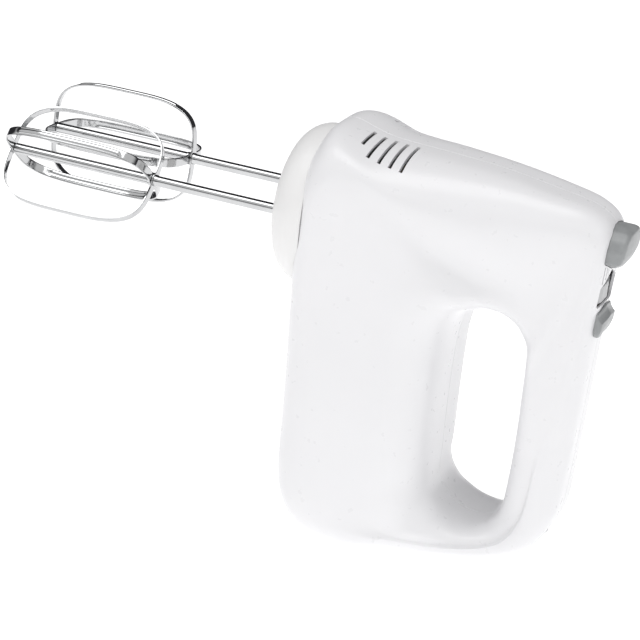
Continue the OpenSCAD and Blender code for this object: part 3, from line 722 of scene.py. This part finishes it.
outline = dense_outline(round_poly(eject_outline(0), [1.5, 2.0, 5, 6, 6, 4, 4, 6, 6, 5, 2.0, 1.5], 8), 0.6)
o = capped("eject_thumb_button", outline, 266.2, eject_top, "grey_satin", edge=1.7, steps=7, fill=14, centre=(0, 12.5))
put(o, "ejector", "grey_satin", "eject_button")


def turbo_top(y, z):
    lid = 279.85 - 0.24 * max(0.0, abs(y) - 4.2)
    t = max(0.0, min(1.0, (z + 5.8) / 0.7))
    return lid - 1.5 * t * t * (3 - 2 * t)


outline = dense_outline(round_poly(both([(10.6, -13.6), (10.6, -4.8), (0.3, 0.3)]), [1.2, 1.0, 0.3, 0.3, 1.0, 1.2], 6), 0.45)
o = capped("turbo_push_button", outline, 272.2, turbo_top, "light_grey", edge=0.5, steps=4, fill=18, centre=(0, -8.5))
put(o, "turbo", "light_grey", "turbo_button")

KNOB_Z = -21.8
SLIDE = math.radians(1.8)
TRACK = Matrix.Translation((280.9 - (5 - KNOB_Z) * math.sin(SLIDE), 0, KNOB_Z)) @ Matrix.Rotation(SLIDE, 4, 'Y')
knob_back = smooth_curve([(0, 3.95), (3, 3.85), (5, 3.45), (7, 2.8), (9, 1.95), (11, 1.0), (13, 0.5)], 0.8)


def knob_top(y, z):
    d = 7.0 - 0.2 * abs(y) - z
    if d < 4.0:
        h = 1.35 + 2.6 * (max(0.0, d) / 4.0) ** 1.9
    else:
        h = knob_back(d - 4.0)
    return h - 0.9 * (abs(y) / 10.5) ** 2.2


def knob_base(y, z):
    return skin_x(y) - 280.9 + 0.45


outline = dense_outline(round_poly([(-10.5, -7), (10.5, -7), (10.5, 4.9), (0, 7.0), (-10.5, 4.9)], [4.5, 4.5, 1.0, 1.0, 1.0], 8), 0.4)
o = capped("speed_slide_knob", outline, knob_base, knob_top, "grey_satin", edge=0.6, steps=4, fill=22, local=TRACK, centre=(0, -0.5))
put(o, "speed_slider", "grey_satin", "speed_knob")


# ---------------------------------------------------------------- heel pad and screws
def make_pad():
    def ring(inset, z):
        w, h = 29 - inset, 13 - inset
        return [(x, y, z) for x, y in round_poly([(-w, -h), (w, -h), (w, h), (-w, h)], 6 - inset, 10)]
    rows = [ring(1.2, 0.0), ring(0.35, 0.15), ring(0.08, 0.4), ring(0, 0.7), ring(0, 1.3), ring(0.15, 1.45)]
    o = rings("heel_foot_pad", rows, "soft_rubber", to=ROW, angle=None)
    grooves = [box_mm(x - 0.7, x + 0.7, -20, 20, -0.5, 0.45, to=ROW) for x in range(-24, 25, 6)]
    combine(o, grooves)
    shade(o, 30)
    return put(o, "housing", "soft_rubber", "heel_pad")


make_pad()


def make_screws():
    verts, faces = [], []
    seg = 24
    prof = [(-12, 0), (-11.6, 0.7), (-10.6, 1.2)]
    y = -10.4
    while y < 6.4:
        prof += [(y, 1.42), (y + 0.25, 1.18), (y + 0.5, 1.18)]
        y += 0.75
    prof += [(8.02, 1.4), (8.02, 3.0), (8.25, 3.1), (9.2, 3.1), (9.8, 2.8), (10.1, 2.2), (10.2, 1.4), (10.2, 1.3), (9.4, 1.1), (9.2, 0)]
    for bx, bz in BOSSES:
        idx = []
        for yy, r in prof:
            if r < 1e-6:
                idx.append([len(verts)])
                verts.append((bx, yy, bz))
                continue
            idx.append(list(range(len(verts), len(verts) + seg)))
            for k in range(seg):
                a = 2 * math.pi * k / seg
                rr = r
                if r == 1.1 or r == 1.3:      # the driver recess is a cross
                    rr = r * (1.25 if k % 6 in (0,) else (0.95 if k % 6 in (1, 5) else 0.5))
                verts.append((bx + rr * math.cos(a), yy, bz + rr * math.sin(a)))
        for a, b in zip(idx, idx[1:]):
            for k in range(seg):
                k2 = (k + 1) % seg
                if len(a) == 1:
                    faces.append((a[0], b[k], b[k2]))
                elif len(b) == 1:
                    faces.append((a[k], b[0], a[k2]))
                else:
                    faces.append((a[k], b[k], b[k2], a[k2]))
    o = piece("shell_screws", verts, faces, "plain_steel", angle=35)
    return put(o, "housing", "plain_steel", "housing_screws")


make_screws()

# ---------------------------------------------------------------- finishes of the carried-over CAD nodes
for name, key in CAD_FINISH.items():
    ob = nodes[name]
    for sl in ob.material_slots:
        sl.material = MAT[key]
    if not ob.material_slots:
        ob.data.materials.append(MAT[key])


# ---------------------------------------------------------------- floor, world and lights
def make_stage():
    me = bpy.data.meshes.new("floor")
    s = 6.0
    me.from_pydata([(-s, -s, 0), (s, -s, 0), (s, s, 0), (-s, s, 0)], [], [(0, 1, 2, 3)])
    fl = bpy.data.objects.new("floor", me)
    m = bpy.data.materials.new("pale_floor")
    m.use_nodes = True
    p = m.node_tree.nodes["Principled BSDF"]
    p.inputs["Base Color"].default_value = (0.93, 0.93, 0.93, 1)
    p.inputs["Roughness"].default_value = 0.75
    p.inputs["Specular IOR Level"].default_value = 0.1
    p.inputs["Emission Color"].default_value = (1, 1, 1, 1)
    p.inputs["Emission Strength"].default_value = 0.52
    me.materials.append(m)
    scene.collection.objects.link(fl)

    w = scene.world or bpy.data.worlds.new("world")
    scene.world = w
    w.use_nodes = True
    t = w.node_tree
    t.nodes.clear()
    out = t.nodes.new("ShaderNodeOutputWorld")
    bg = t.nodes.new("ShaderNodeBackground")
    co = t.nodes.new("ShaderNodeTexCoord")
    sep = t.nodes.new("ShaderNodeSeparateXYZ")
    t.links.new(co.outputs["Generated"], sep.inputs[0])

    def soft(source, low, high):
        m = t.nodes.new("ShaderNodeMapRange")
        m.interpolation_type = 'SMOOTHSTEP'
        m.inputs["From Min"].default_value, m.inputs["From Max"].default_value = low, high
        t.links.new(source, m.inputs["Value"])
        return m.outputs[0]
    # reflections see a bright room in front and above, and a dark one behind and along the horizon
    front = soft(sep.outputs["Y"], 0.12, -0.05)
    above = soft(sep.outputs["Z"], 0.22, 0.48)
    mul = t.nodes.new("ShaderNodeMath")
    mul.operation = 'MULTIPLY'
    t.links.new(front, mul.inputs[0])
    t.links.new(above, mul.inputs[1])
    refl = t.nodes.new("ShaderNodeMix")
    refl.data_type = 'RGBA'
    refl.inputs[6].default_value = (0.045, 0.045, 0.05, 1)
    refl.inputs[7].default_value = (1, 1, 1, 1)
    t.links.new(mul.outputs[0], refl.inputs["Factor"])
    lp = t.nodes.new("ShaderNodeLightPath")
    mx = t.nodes.new("ShaderNodeMix")
    mx.data_type = 'RGBA'
    mx.inputs[6].default_value = (0.70, 0.695, 0.703, 1)
    t.links.new(lp.outputs["Is Glossy Ray"], mx.inputs["Factor"])
    t.links.new(refl.outputs[2], mx.inputs[7])
    seen = t.nodes.new("ShaderNodeMix")
    seen.data_type = 'RGBA'
    seen.inputs[7].default_value = (1.3, 1.3, 1.3, 1)
    t.links.new(lp.outputs["Is Camera Ray"], seen.inputs["Factor"])
    t.links.new(mx.outputs[2], seen.inputs[6])
    t.links.new(seen.outputs[2], bg.inputs["Color"])
    bg.inputs["Strength"].default_value = 0.85
    t.links.new(bg.outputs[0], out.inputs[0])

    def area(name, at, target, size, power, size_y=None):
        li = bpy.data.lights.new(name, 'AREA')
        li.energy = power
        li.shape = 'RECTANGLE'
        li.size, li.size_y = size, size_y or size
        ob = bpy.data.objects.new(name, li)
        ob.location = at
        ob.rotation_mode = 'QUATERNION'
        ob.rotation_quaternion = (Vector(target) - Vector(at)).to_track_quat('-Z', 'Y')
        scene.collection.objects.link(ob)
        return ob

    area("top_softbox", (0.0, -0.3, 1.4), (0.0, 0.0, 0.05), 1.4, 8.0, 0.8)
    area("key_softbox", (-0.5, -1.2, 0.25), (0.0, 0.0, 0.05), 0.8, 0.5, 0.3)
    area("fill_softbox", (1.3, -0.9, 0.5), (0.0, 0.0, 0.1), 0.8, 1.1, 0.8)


make_stage()
scene.view_settings.view_transform = 'Standard'
scene.view_settings.look = 'None'
scene.view_settings.exposure = 0.0
scene.view_settings.gamma = 1.0

bpy.context.view_layer.update()
